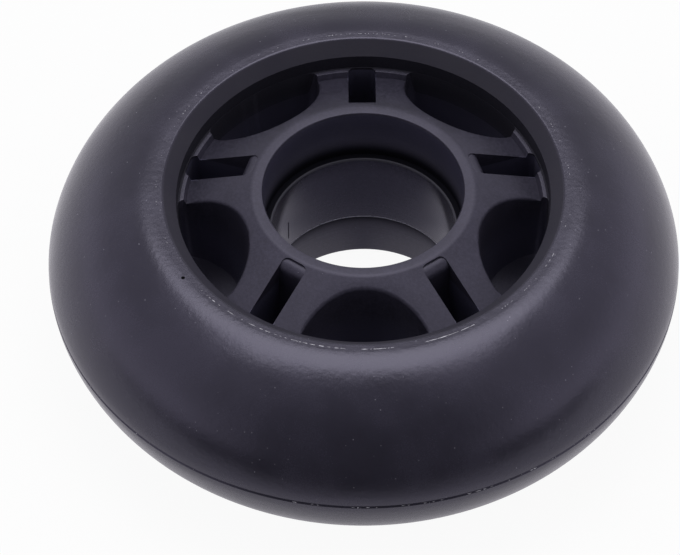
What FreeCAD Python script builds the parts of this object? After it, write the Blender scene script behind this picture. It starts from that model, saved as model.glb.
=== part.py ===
import FreeCAD, Part
import math
import os

import Sketcher

# Driving dimensions, in millimetres and degrees
SIZES = {
    "wheel_diameter": "70",
    "tyre_width": "24",
    "nose_radius": "6",
    "flank_radius": "14.4",
    "shoulder_radius": "7.2",
    "trim_width": "0.5",
    "trim_step": "0.1",
    "lip_width": "0.65",
    "lip_flare": "1.45",
    "lip_radius": "0.5",
    "seam_width": "0.4",
    "seam_depth": "0.15",
    "rim_diameter": "45.2",
    "rim_wall": "2",
    "rim_recess": "1.45",
    "mouth_step": "0.08",
    "key_height": "1.8",
    "key_width": "4",
    "bearing_diameter": "22",
    "bearing_width": "7",
    "seat_shoulder": "0.8",
    "edge_chamfer": "0.15",
    "seat_lead": "0.35",
    "collar_recess": "0.25",
    "collar_wall": "1.3",
    "collar_rounding": "1.2",
    "dish_depth": "3.52",
    "ledge_width": "0.75",
    "ledge_step": "0.65",
    "ledge_flare": "0.3",
    "window_count": "5",
    "window_radius": "7.4",
    "window_ring": "2.1",
    "window_corner_radius": "0.8",
    "draft_angle": "4",
    "slot_width": "3.05",
    "slot_corner_radius": "0.7",
    "slot_inset": "0.2",
    "slot_end_clearance": "0.05",
    "slot_web": "2.5",
    "lead_in_radius": "1.2",
    "lead_in_step": "0.4",
    "lead_in_bite": "0.1",
}

# Sketcher's own numbers for the origin, the axes and the ends of an edge
ORIGIN = -1
HORIZONTAL_AXIS = -1
VERTICAL_AXIS = -2
START = 1
END = 2
CENTRE = 3
ON_AXIS = "0"

# Places that several outlines share, as expressions of the sheet
WHEEL_RADIUS = "Sizes.wheel_diameter / 2"
HALF_WIDTH = "Sizes.tyre_width / 2"
RIM_RADIUS = "Sizes.rim_diameter / 2"
RIM_END = f"{HALF_WIDTH} - Sizes.rim_recess"
MOUTH_RADIUS = f"({RIM_RADIUS} - Sizes.rim_wall)"
KEY_RADIUS = f"({RIM_RADIUS} + Sizes.key_height)"
KEY_END = "Sizes.key_width / 2"
LIP_RADIUS = f"({MOUTH_RADIUS} + Sizes.lip_flare)"
TRIM_INNER = f"({LIP_RADIUS} + Sizes.lip_width)"
TRIM_OUTER = f"({TRIM_INNER} + Sizes.trim_width)"
SHOULDER_UP = f"({HALF_WIDTH} - Sizes.shoulder_radius)"
NOSE_ACROSS = f"({WHEEL_RADIUS} - Sizes.nose_radius)"
COLLAR_END = f"({HALF_WIDTH} - Sizes.collar_recess)"
SEAT_RADIUS = "Sizes.bearing_diameter / 2"
SEAT_FLOOR = f"({HALF_WIDTH} - Sizes.bearing_width)"
SPACER_RADIUS = f"({SEAT_RADIUS} - Sizes.seat_shoulder)"
COLLAR_RADIUS = f"({SEAT_RADIUS} + Sizes.collar_wall)"
LEDGE_RADIUS = f"({MOUTH_RADIUS} - Sizes.ledge_width)"
LEDGE_FOOT = f"{LEDGE_RADIUS} - Sizes.ledge_flare"
DISH_END = f"{COLLAR_END} - Sizes.dish_depth"
LEDGE_TOP = f"({DISH_END} + Sizes.ledge_step)"
WEB_EDGE = f"({MOUTH_RADIUS} + {RIM_RADIUS}) / 2"
WINDOW_CENTRE = f"({COLLAR_RADIUS} + Sizes.window_ring + Sizes.window_radius)"
MOUTH_FOOT = f"({MOUTH_RADIUS} - ({RIM_END} - {LEDGE_TOP}) * tan(Sizes.draft_angle))"
WINDOW_RIM_TOP = f"({MOUTH_FOOT} - Sizes.mouth_step)"
WINDOW_RIM_FOOT = f"{WINDOW_RIM_TOP} - {LEDGE_TOP} * tan(Sizes.draft_angle)"
SLOT_HALF = "Sizes.slot_width / 2"
SLOT_START = f"({COLLAR_RADIUS} + Sizes.slot_inset)"
SLOT_END = f"{WINDOW_RIM_TOP} - Sizes.slot_end_clearance"
LEAD_IN_END = f"{SLOT_START} + Sizes.lead_in_radius"
LEAD_IN_TOP = f"{COLLAR_END} - Sizes.lead_in_step"

# The flank's radius, never so small that it would leave no arc of the nose or of the shoulder
NOSE_PAST_SHOULDER = f"({NOSE_ACROSS} - {TRIM_OUTER})"
CENTRE_SPAN_SQUARED = f"({NOSE_PAST_SHOULDER}^2 + {SHOULDER_UP}^2)"
NOSE_RISE = "(Sizes.seam_width / Sizes.nose_radius)"
NOSE_LEAN = f"({NOSE_PAST_SHOULDER} * sqrt(1 - {NOSE_RISE}^2) - {SHOULDER_UP} * {NOSE_RISE})"
SHOULDER_RUN = "(Sizes.trim_width / Sizes.shoulder_radius)"
SHOULDER_LEAN = f"({SHOULDER_UP} * sqrt(1 - {SHOULDER_RUN}^2) - {NOSE_PAST_SHOULDER} * {SHOULDER_RUN})"
FLANK_FOR_NOSE = (
    f"({CENTRE_SPAN_SQUARED} + Sizes.nose_radius^2 - Sizes.shoulder_radius^2"
    f" + 2 * Sizes.nose_radius * {NOSE_LEAN})"
    f" / (2 * ({NOSE_LEAN} + Sizes.nose_radius - Sizes.shoulder_radius))")
FLANK_FOR_SHOULDER = (
    f"({CENTRE_SPAN_SQUARED} + Sizes.shoulder_radius^2 - Sizes.nose_radius^2"
    f" + 2 * Sizes.shoulder_radius * {SHOULDER_LEAN})"
    f" / (2 * ({SHOULDER_LEAN} + Sizes.shoulder_radius - Sizes.nose_radius))")
FLANK_RADIUS = f"max(Sizes.flank_radius; {FLANK_FOR_NOSE}; {FLANK_FOR_SHOULDER})"

doc = FreeCAD.newDocument("Wheel")
sheet = doc.addObject("Spreadsheet::Sheet", "Sizes")
for row, (name, size) in enumerate(SIZES.items(), start=1):
    sheet.set(f"A{row}", name)
    sheet.set(f"B{row}", size)
    sheet.setAlias(f"B{row}", name)
doc.recompute()


def value(expression):
    """Returns the number that an expression of the sheet stands for."""
    return float(sheet.evalExpression(expression))


def origin_feature(body, role):
    """Returns the plane or axis of a body's own origin that has this role."""
    return next(feature for feature in body.Origin.OriginFeatures if feature.Role == role)


def new_body(label):
    """Adds an empty body whose label names its file."""
    body = doc.addObject("PartDesign::Body", label.capitalize())
    body.Label = label
    body.Placement = FreeCAD.Placement()
    return body


def new_sketch(body, name, role):
    """Adds a sketch on one of the body's origin planes."""
    sketch = body.newObject("Sketcher::SketchObject", name)
    sketch.AttachmentSupport = [(origin_feature(body, role), "")]
    sketch.MapMode = "FlatFace"
    return sketch


def bind(sketch, constraint, expression):
    """Adds a constraint whose value follows an expression of the sheet."""
    index = sketch.addConstraint(constraint)
    sketch.setExpression(f"Constraints[{index}]", expression)


def pin(sketch, edge, end, across=None, up=None):
    """Ties one point of an edge to its distances from the sketch's origin."""
    for kind, axis, expression in (("DistanceX", VERTICAL_AXIS, across), ("DistanceY", HORIZONTAL_AXIS, up)):
        if expression == ON_AXIS:
            sketch.addConstraint(Sketcher.Constraint("PointOnObject", edge, end, axis))
        elif expression is not None:
            place = Sketcher.Constraint(kind, ORIGIN, START, edge, end, value(expression))
            bind(sketch, place, expression)


def join(sketch, first, first_end, second, second_end):
    """Makes the ends of two edges meet."""
    sketch.addConstraint(Sketcher.Constraint("Coincident", first, first_end, second, second_end))


def draw_chain(sketch, corners):
    """Draws straight edges through corners given as expressions and pins every corner.

    Returns the numbers of the edges, in order.
    """
    points = [FreeCAD.Vector(value(across), value(up), 0) for across, up in corners]
    edges = [sketch.addGeometry(Part.LineSegment(a, b)) for a, b in zip(points, points[1:])]
    for first, second in zip(edges, edges[1:]):
        join(sketch, first, END, second, START)
    for edge, (across, up) in zip(edges, corners):
        pin(sketch, edge, START, across, up)
    return edges


def draw_polygon(sketch, corners):
    """Draws a closed outline of straight edges through corners given as expressions."""
    edges = draw_chain(sketch, corners + corners[:1])
    join(sketch, edges[-1], END, edges[0], START)


def add_arc(sketch, centre, radius, first_angle, last_angle):
    """Adds an arc that turns left from its first angle to its last, in radians."""
    circle = Part.Circle(centre, FreeCAD.Vector(0, 0, 1), radius)
    return sketch.addGeometry(Part.ArcOfCircle(circle, first_angle, last_angle))


def fix_radius(sketch, arc, expression):
    """Ties an arc's radius to the sheet."""
    bind(sketch, Sketcher.Constraint("Radius", arc, value(expression)), expression)


def revolve(body, sketch, name):
    """Turns a section right round the wheel's axis."""
    feature = body.newObject("PartDesign::Revolution", name)
    feature.Profile = sketch
    feature.ReferenceAxis = (sketch, ["V_Axis"])
    feature.Angle = 360
    return feature


def repeat_round(body, originals, name):
    """Repeats features about the wheel's axis, once for each window."""
    pattern = body.newObject("PartDesign::PolarPattern", name)
    pattern.Originals = originals
    pattern.Axis = (origin_feature(body, "Z_Axis"), [""])
    pattern.Angle = 360
    pattern.setExpression("Occurrences", "Sizes.window_count")
    body.Tip = pattern
    return pattern


def mirror_half(body):
    """Completes a body whose upper half is modelled."""
    mirror = body.newObject("PartDesign::Mirrored", f"{body.Name}Halves")
    mirror.TransformMode = "Whole shape"
    mirror.MirrorPlane = (origin_feature(body, "XY_Plane"), [""])
    body.Tip = mirror
    return mirror


def check_volume(feature, base, grows):
    """Stops the build if a feature went the wrong way and changed nothing."""
    doc.recompute()
    change = feature.Shape.Volume - base.Shape.Volume
    if change == 0 or (change > 0) != grows:
        raise RuntimeError(f"{feature.Label} changed the volume by {change:.3f}")


def make_hub():
    """Models the moulded hub: collar, dished spokes, windows, rim and slots."""
    body = new_body("hub")

    # Bearing seats, collar face and the dished disc that the spokes are left from
    section = new_sketch(body, "DiscSection", "XZ_Plane")
    draw_polygon(section, [
        (SPACER_RADIUS, ON_AXIS),
        (SPACER_RADIUS, f"{SEAT_FLOOR} - Sizes.edge_chamfer"),
        (f"{SPACER_RADIUS} + Sizes.edge_chamfer", SEAT_FLOOR),
        (SEAT_RADIUS, SEAT_FLOOR),
        (SEAT_RADIUS, f"{COLLAR_END} - Sizes.seat_lead"),
        (f"{SEAT_RADIUS} + Sizes.edge_chamfer", COLLAR_END),
        (COLLAR_RADIUS, COLLAR_END),
        (LEDGE_FOOT, DISH_END),
        (LEDGE_RADIUS, LEDGE_TOP),
        (WEB_EDGE, LEDGE_TOP),
        (WEB_EDGE, ON_AXIS),
    ])
    disc = revolve(body, section, "Disc")
    doc.recompute()

    # Soft edge where the collar's face turns down into the dish
    collar = body.newObject("PartDesign::Fillet", "Collar")
    collar.Base = (disc, [circle_name(disc.Shape, value(COLLAR_RADIUS))])
    collar.setExpression("Radius", "Sizes.collar_rounding")
    check_volume(collar, disc, grows=False)

    # Round windows with draft, which leave the spokes between them
    window = new_sketch(body, "WindowSection", "YZ_Plane")
    window_top_radius = f"Sizes.window_radius + {COLLAR_END} * tan(Sizes.draft_angle)"
    near_wall = draw_chain(window, [
        (f"-{WINDOW_CENTRE}", ON_AXIS),
        (f"Sizes.window_radius - {WINDOW_CENTRE}", ON_AXIS),
        (f"{window_top_radius} - {WINDOW_CENTRE}", COLLAR_END),
        (f"-{WINDOW_CENTRE}", COLLAR_END),
        (f"-{WINDOW_CENTRE}", ON_AXIS),
    ])
    join(window, near_wall[-1], END, near_wall[0], START)
    cut = body.newObject("PartDesign::Groove", "Window")
    cut.Profile = window
    cut.ReferenceAxis = (window, [f"Edge{near_wall[-1] + 1}"])
    cut.Angle = 360
    check_volume(cut, collar, grows=False)
    windows = repeat_round(body, [cut], "Windows")
    doc.recompute()

    # Rim that the tyre is cast on, with a key that holds the tyre sideways
    rim_section = new_sketch(body, "RimSection", "XZ_Plane")
    draw_polygon(rim_section, [
        (WINDOW_RIM_FOOT, ON_AXIS),
        (WINDOW_RIM_TOP, LEDGE_TOP),
        (RIM_RADIUS, LEDGE_TOP),
        (RIM_RADIUS, KEY_END),
        (KEY_RADIUS, KEY_END),
        (KEY_RADIUS, ON_AXIS),
    ])
    rim = revolve(body, rim_section, "Rim")
    check_volume(rim, windows, grows=True)

    # Blind slot along a spoke, rounded at its corners and open to the face
    slot_plan = new_sketch(body, "SlotPlan", "XY_Plane")
    slot_plan.setExpression("AttachmentOffset.Base.z", "Sizes.slot_web / 2")
    draw_slot(slot_plan)
    slot = body.newObject("PartDesign::Pocket", "Slot")
    slot.Profile = slot_plan
    slot.Type = "ThroughAll"
    slot.Reversed = True
    check_volume(slot, rim, grows=False)

    # Rounded lead-in that stands in the slot's inner end
    lead_in_section = new_sketch(body, "LeadInSection", "YZ_Plane")
    draw_lead_in(lead_in_section)
    lead_in = body.newObject("PartDesign::Pad", "LeadIn")
    lead_in.Profile = lead_in_section
    lead_in.SideType = "Symmetric"
    lead_in.setExpression("Length", "Sizes.slot_width + 2 * Sizes.lead_in_bite")
    check_volume(lead_in, slot, grows=True)
    slots = repeat_round(body, [slot, lead_in], "Slots")
    doc.recompute()

    # Soft corners where the spokes' sides run into the rim
    corners = body.newObject("PartDesign::Fillet", "WindowCorners")
    corners.Base = (slots, window_corner_names(slots.Shape))
    corners.setExpression("Radius", "Sizes.window_corner_radius")
    check_volume(corners, slots, grows=True)

    # Mouth of the rim, above the spokes, that the tyre's lip runs down to
    mouth_section = new_sketch(body, "MouthSection", "XZ_Plane")
    draw_polygon(mouth_section, [
        (MOUTH_FOOT, LEDGE_TOP),
        (MOUTH_RADIUS, RIM_END),
        (RIM_RADIUS, RIM_END),
        (RIM_RADIUS, LEDGE_TOP),
    ])
    mouth = revolve(body, mouth_section, "Mouth")
    check_volume(mouth, corners, grows=True)

    mirror_half(body)
    return body


def window_corner_names(shape):
    """Returns the names of the upright edges between the windows' walls and the rim's."""
    ends = ((value(WINDOW_RIM_FOOT), 0), (value(WINDOW_RIM_TOP), value(LEDGE_TOP)))
    names = []
    for number, edge in enumerate(shape.Edges, start=1):
        places = sorted((point.Point.z, math.hypot(point.Point.x, point.Point.y)) for point in edge.Vertexes)
        matches = [math.dist(place, (height, radius)) < 1e-3 for place, (radius, height) in zip(places, ends)]
        if len(matches) == len(ends) and all(matches):
            names.append(f"Edge{number}")
    return names


def draw_slot(sketch):
    """Draws the slot's plan: a rectangle along +Y with four round corners."""
    radius = value("Sizes.slot_corner_radius")
    half = value(SLOT_HALF)
    inner = value(SLOT_START)
    outer = value(SLOT_END)
    quarter = math.pi / 2
    corners = (
        (half - radius, outer - radius, f"{SLOT_HALF} - Sizes.slot_corner_radius",
         f"{SLOT_END} - Sizes.slot_corner_radius"),
        (radius - half, outer - radius, f"Sizes.slot_corner_radius - {SLOT_HALF}",
         f"{SLOT_END} - Sizes.slot_corner_radius"),
        (radius - half, inner + radius, f"Sizes.slot_corner_radius - {SLOT_HALF}",
         f"{SLOT_START} + Sizes.slot_corner_radius"),
        (half - radius, inner + radius, f"{SLOT_HALF} - Sizes.slot_corner_radius",
         f"{SLOT_START} + Sizes.slot_corner_radius"),
    )
    arcs = []
    for turn, (x, y, across, up) in enumerate(corners):
        arc = add_arc(sketch, FreeCAD.Vector(x, y, 0), radius, turn * quarter, (turn + 1) * quarter)
        pin(sketch, arc, CENTRE, across, up)
        arcs.append(arc)
    fix_radius(sketch, arcs[0], "Sizes.slot_corner_radius")
    for arc in arcs[1:]:
        sketch.addConstraint(Sketcher.Constraint("Equal", arcs[0], arc))
    for turn, arc in enumerate(arcs):
        following = arcs[(turn + 1) % len(arcs)]
        finish = sketch.Geometry[arc].EndPoint
        start = sketch.Geometry[following].StartPoint
        side = sketch.addGeometry(Part.LineSegment(finish, start))
        sketch.addConstraint(Sketcher.Constraint("Tangent", arc, END, side, START))
        sketch.addConstraint(Sketcher.Constraint("Tangent", side, END, following, START))


def draw_lead_in(sketch):
    """Draws the lead-in's section along the slot: a block with a round upper edge."""
    arc_foot = f"{LEAD_IN_TOP} - Sizes.lead_in_radius"
    block = draw_chain(sketch, [
        (SLOT_START, LEAD_IN_TOP),
        (COLLAR_RADIUS, LEAD_IN_TOP),
        (COLLAR_RADIUS, ON_AXIS),
        (LEAD_IN_END, ON_AXIS),
        (LEAD_IN_END, arc_foot),
    ])
    centre = FreeCAD.Vector(value(SLOT_START), value(arc_foot), 0)
    arc = add_arc(sketch, centre, value("Sizes.lead_in_radius"), 0, math.pi / 2)
    sketch.addConstraint(Sketcher.Constraint("Tangent", block[-1], END, arc, START))
    join(sketch, arc, END, block[0], START)
    fix_radius(sketch, arc, "Sizes.lead_in_radius")


def make_tyre():
    """Models the cast tyre: tread, trimmed sides, lip and the mould's seam."""
    body = new_body("tyre")
    section = new_sketch(body, "TyreSection", "XZ_Plane")
    draw_tyre_section(section)
    ring = revolve(body, section, "Ring")
    doc.recompute()

    # Soft edge where the lip turns down into the rim
    lip = body.newObject("PartDesign::Fillet", "Lip")
    lip.Base = (ring, [circle_name(ring.Shape, value(LIP_RADIUS))])
    lip.setExpression("Radius", "Sizes.lip_radius")
    check_volume(lip, ring, grows=False)
    mirror_half(body)
    return body


def circle_name(shape, radius):
    """Returns the name of the circular edge of this radius about the wheel's axis."""
    for number, edge in enumerate(shape.Edges, start=1):
        if isinstance(edge.Curve, Part.Circle) and math.isclose(edge.Curve.Radius, radius, abs_tol=1e-6):
            return f"Edge{number}"
    raise RuntimeError(f"no circular edge of radius {radius:.3f}")


def draw_tyre_section(sketch):
    """Draws the upper half of the tyre's section, outside the rim and its key."""
    lip_height = f"{HALF_WIDTH} - Sizes.trim_step"
    straight = draw_chain(sketch, [
        (f"{WHEEL_RADIUS} - Sizes.seam_depth", ON_AXIS),
        (KEY_RADIUS, ON_AXIS),
        (KEY_RADIUS, KEY_END),
        (RIM_RADIUS, KEY_END),
        (RIM_RADIUS, RIM_END),
        (MOUTH_RADIUS, RIM_END),
        (LIP_RADIUS, lip_height),
        (TRIM_INNER, lip_height),
        (f"{TRIM_INNER} + Sizes.trim_step", HALF_WIDTH),
        (TRIM_OUTER, HALF_WIDTH),
    ])

    # Nose, flank and shoulder arcs that run smoothly into each other
    nose_radius = value("Sizes.nose_radius")
    flank_radius = value(FLANK_RADIUS)
    shoulder_radius = value("Sizes.shoulder_radius")
    nose_centre = FreeCAD.Vector(value(NOSE_ACROSS), 0, 0)
    shoulder_centre = FreeCAD.Vector(value(TRIM_OUTER), value(SHOULDER_UP), 0)
    flank_centre = outer_circle_centre(nose_centre, flank_radius - nose_radius,
                                       shoulder_centre, flank_radius - shoulder_radius)
    seam_half = "Sizes.seam_width / 2"
    seam_angle = math.asin(value(seam_half) / nose_radius)
    nose_end = direction(flank_centre, nose_centre)
    flank_end = direction(flank_centre, shoulder_centre)
    nose = add_arc(sketch, nose_centre, nose_radius, seam_angle, nose_end)
    flank = add_arc(sketch, flank_centre, flank_radius, nose_end, flank_end)
    shoulder = add_arc(sketch, shoulder_centre, shoulder_radius, flank_end, math.pi / 2)
    pin(sketch, nose, CENTRE, NOSE_ACROSS, ON_AXIS)
    pin(sketch, nose, START, up=seam_half)
    pin(sketch, shoulder, CENTRE, TRIM_OUTER, SHOULDER_UP)
    fix_radius(sketch, nose, "Sizes.nose_radius")
    fix_radius(sketch, flank, FLANK_RADIUS)
    sketch.addConstraint(Sketcher.Constraint("Tangent", nose, END, flank, START))
    sketch.addConstraint(Sketcher.Constraint("Tangent", flank, END, shoulder, START))
    join(sketch, shoulder, END, straight[-1], END)
    pin(sketch, shoulder, END, TRIM_OUTER, HALF_WIDTH)

    # Shallow groove that the mould's halves leave round the tread
    seam_floor = sketch.Geometry[straight[0]].StartPoint
    seam_wall = sketch.addGeometry(Part.LineSegment(seam_floor, sketch.Geometry[nose].StartPoint))
    join(sketch, seam_wall, START, straight[0], START)
    join(sketch, seam_wall, END, nose, START)


def direction(origin, target):
    """Returns the angle of the line from one point to another, in radians."""
    return math.atan2(target.y - origin.y, target.x - origin.x)


def outer_circle_centre(first, first_reach, second, second_reach):
    """Returns the point on the axis side that lies at the given reach from each of two centres."""
    span = second - first
    along = (first_reach ** 2 - second_reach ** 2 + span.Length ** 2) / (2 * span.Length)
    aside = math.sqrt(first_reach ** 2 - along ** 2)
    unit = span / span.Length
    return first + unit * along + FreeCAD.Vector(-unit.y, unit.x, 0) * aside


def check_document():
    """Stops the build if any object failed or any body has no sound shape."""
    for item in doc.Objects:
        if "Invalid" in item.State or "Error" in item.State:
            raise RuntimeError(f"{item.Label} failed: {item.State}")
    for body in bodies:
        if body.Shape.isNull() or not body.Shape.isValid() or len(body.Shape.Solids) != 1:
            raise RuntimeError(f"{body.Label} is not one sound solid")


bodies = [make_hub(), make_tyre()]
doc.recompute()
check_document()
os.makedirs("parts", exist_ok=True)
for body in bodies:
    body.Shape.exportStep(os.path.join("parts", f"{body.Label}.step"))
    print(f"{body.Label}: {body.Shape.Volume:.1f} mm3, {len(body.Shape.Faces)} faces")
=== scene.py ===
"""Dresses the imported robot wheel: a cast tyre on a moulded hub, lying on a white table.

Both pieces are made again as fine meshes of the same form as the solids, so that
their round faces shade smoothly. Lengths are in millimetres until a mesh is made.
"""
import logging
import math
from dataclasses import dataclass, field
from enum import Enum
from typing import Any, Callable, List, Mapping, Optional, Sequence, Tuple, Union

import bmesh
import bpy
from mathutils import Matrix, Quaternion, Vector


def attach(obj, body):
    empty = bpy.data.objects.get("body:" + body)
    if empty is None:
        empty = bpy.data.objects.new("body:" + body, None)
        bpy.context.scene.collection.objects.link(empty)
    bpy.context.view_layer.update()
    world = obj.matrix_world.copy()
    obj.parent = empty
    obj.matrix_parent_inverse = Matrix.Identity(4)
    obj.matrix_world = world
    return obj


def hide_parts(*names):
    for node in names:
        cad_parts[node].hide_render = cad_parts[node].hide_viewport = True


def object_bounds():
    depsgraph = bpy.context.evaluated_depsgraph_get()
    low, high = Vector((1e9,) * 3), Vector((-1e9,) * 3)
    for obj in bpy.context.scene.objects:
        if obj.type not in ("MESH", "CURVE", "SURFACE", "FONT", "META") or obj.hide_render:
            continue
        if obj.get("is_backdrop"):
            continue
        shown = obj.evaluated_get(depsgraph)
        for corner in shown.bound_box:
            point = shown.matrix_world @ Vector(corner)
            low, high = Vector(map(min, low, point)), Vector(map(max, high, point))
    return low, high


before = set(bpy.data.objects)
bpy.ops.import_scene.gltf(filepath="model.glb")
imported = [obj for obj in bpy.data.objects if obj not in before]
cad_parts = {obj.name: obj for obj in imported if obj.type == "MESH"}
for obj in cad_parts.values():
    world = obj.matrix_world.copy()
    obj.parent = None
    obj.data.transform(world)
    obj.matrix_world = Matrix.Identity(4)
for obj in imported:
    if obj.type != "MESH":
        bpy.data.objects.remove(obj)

LOG = logging.getLogger("wheel")
MM = 0.001
PLANE = 0.0005
SPOKES = 5
NOISE_MEAN = 0.5

Point = Tuple[float, float]
Place = Tuple[float, float, float]
Span = Tuple[float, float]
Pattern = Tuple[float, float, float]
Colour = Tuple[float, float, float, float]
Item = bpy.types.Object
Key = Union[str, int]
Given = Union["Value", float, int, str, Sequence[float], bpy.types.ID]


class Piece(Enum):
    """The two pieces of the wheel, named as their nodes are."""

    HUB = "hub"
    TYRE = "tyre"


class Side(Enum):
    """The two sides of the wheel, by the sign of their height."""

    UPPER = 1
    LOWER = -1


# Node graphs
def maths_method(operation: str, swapped: bool = False) -> Callable[["Value", Given], "Value"]:
    """Returns a method that joins a value and a term by a Math node, in this order or swapped."""
    def method(value: "Value", term: Given) -> "Value":
        """Adds the Math node."""
        first, second = (term, value) if swapped else (value, term)
        return value.graph.maths(operation, first, second)
    return method


class Value:
    """A node's output that can take part in sums and comparisons written in Python."""

    __add__ = maths_method("ADD")
    __radd__ = __add__
    __sub__ = maths_method("SUBTRACT")
    __rsub__ = maths_method("SUBTRACT", swapped=True)
    __mul__ = maths_method("MULTIPLY")
    __rmul__ = __mul__
    __truediv__ = maths_method("DIVIDE")
    __gt__ = maths_method("GREATER_THAN")
    __lt__ = maths_method("LESS_THAN")

    def __init__(self, graph: "Graph", socket: bpy.types.NodeSocket) -> None:
        """Wraps one output socket of a graph's node."""
        self.graph = graph
        self.socket = socket

    def __getitem__(self, output: Key) -> "Value":
        """Returns another output of the same node."""
        return Value(self.graph, self.socket.node.outputs[output])

    def __neg__(self) -> "Value":
        """Turns the sign round."""
        return self * -1.0

    def __abs__(self) -> "Value":
        """Drops the sign."""
        return self.graph.maths("ABSOLUTE", self)

    def rise(self, start: float, end: float) -> "Value":
        """Runs smoothly from 0 to 1 as the value goes from start to end."""
        return self.graph.add(
            "ShaderNodeMapRange", {"Value": self, "From Min": start, "From Max": end},
            {"interpolation_type": "SMOOTHSTEP", "clamp": True})


class Graph:
    """A node tree that is written as Python expressions."""

    def __init__(self, tree: bpy.types.NodeTree) -> None:
        """Empties a tree, ready for its nodes."""
        self.tree = tree
        tree.nodes.clear()

    def add(self, kind: str, sockets: Optional[Mapping[Key, Given]] = None,
            settings: Optional[Mapping[str, Any]] = None, output: Key = 0) -> Value:
        """Adds a node.

        Args:
            kind: the node's type.
            sockets: values or links of its inputs, by name or number.
            settings: the node's own properties, set before its sockets.
            output: the output that is wanted, by name or number.

        Returns:
            That output. A node without outputs gives its first input instead.
        """
        node = self.tree.nodes.new(kind)
        for name, setting in (settings or {}).items():
            setattr(node, name, setting)
        for key, given in (sockets or {}).items():
            if isinstance(given, Value):
                self.tree.links.new(given.socket, node.inputs[key])
            else:
                node.inputs[key].default_value = given
        return Value(self, node.outputs[output] if node.outputs else node.inputs[0])

    def maths(self, operation: str, first: Given, second: Given = 0.0) -> Value:
        """Adds a Math node of this operation."""
        return self.add("ShaderNodeMath", {0: first, 1: second}, {"operation": operation})

    def blend(self, mask: Given, low: Given, high: Given) -> Value:
        """Mixes two colours by a mask: low where it is 0, high where it is 1."""
        return self.add("ShaderNodeMix", {0: mask, 6: low, 7: high}, {"data_type": "RGBA"}, output=2)


class ShaderGraph(Graph):
    """A material's or the world's nodes, with the patterns that several finishes share."""

    def coordinates(self) -> Tuple[Value, Value, Value, Value]:
        """Returns the place on the piece in millimetres, as a vector and as its three parts."""
        place = self.add("ShaderNodeTexCoord", output="Object")
        scaled = self.add("ShaderNodeVectorMath", {0: place, "Scale": 1 / MM}, {"operation": "SCALE"})
        parts = self.add("ShaderNodeSeparateXYZ", {0: scaled})
        return scaled, parts, parts["Y"], parts["Z"]

    def radius(self, x: Value, y: Value) -> Value:
        """Returns the distance from the wheel's axis."""
        return self.maths("SQRT", x * x + y * y)

    def noise(self, place: Value, per_mm: float, detail: float = 2.0, roughness: float = 0.5) -> Value:
        """Returns a noise of so many cells a millimetre, about its mean."""
        return self.add("ShaderNodeTexNoise", {
            "Vector": place, "Scale": per_mm, "Detail": detail, "Roughness": roughness})

    def specks(self, place: Value, per_mm: float, share: float, size: float) -> Value:
        """Returns a mask of sparse round dots.

        Args:
            place: the place on the piece.
            per_mm: how many cells to a millimetre, each with at most one dot.
            share: the part of the cells that have a dot.
            size: the dot's radius, in cells.
        """
        cells = self.add("ShaderNodeTexVoronoi", {"Vector": place, "Scale": per_mm}, {"feature": "F1"})
        chance = self.add("ShaderNodeSeparateColor", {0: cells["Color"]})
        return (chance < share) * (1.0 - cells.rise(size / 2, size))

    def bump(self, height: Given, distance: float, strength: float) -> Value:
        """Returns a normal raised by a height of 0 to 1 that stands for so many millimetres."""
        return self.add("ShaderNodeBump", {
            "Strength": strength, "Distance": distance * MM, "Height": height})

    def principled(self, sockets: Mapping[str, Given]) -> Value:
        """Adds a Principled shader."""
        return self.add("ShaderNodeBsdfPrincipled", sockets)

    def matt(self, colour: Given, tooth: float = 0.0) -> Value:
        """Adds a shader without any gleam, for a smooth surface or one with tooth, as paper has."""
        return self.principled({
            "Base Color": colour, "Roughness": 1.0, "Diffuse Roughness": tooth, "Specular IOR Level": 0.0})

    def mix(self, mask: Given, low: Value, high: Value) -> Value:
        """Mixes two shaders by a mask: low where it is 0, high where it is 1."""
        return self.add("ShaderNodeMixShader", {0: mask, 1: low, 2: high})


# Finishes
@dataclass(frozen=True)
class Finish:
    """A material that is written as a shader graph."""

    def paint(self, graph: ShaderGraph) -> Value:
        """Returns the shader of the whole surface."""
        raise NotImplementedError

    def make(self, name: str) -> bpy.types.Material:
        """Returns the material."""
        material = bpy.data.materials.new(name)
        material.use_nodes = True
        graph = ShaderGraph(material.node_tree)
        surface = self.paint(graph)
        graph.add("ShaderNodeOutputMaterial", {"Surface": surface})
        return material


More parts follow.
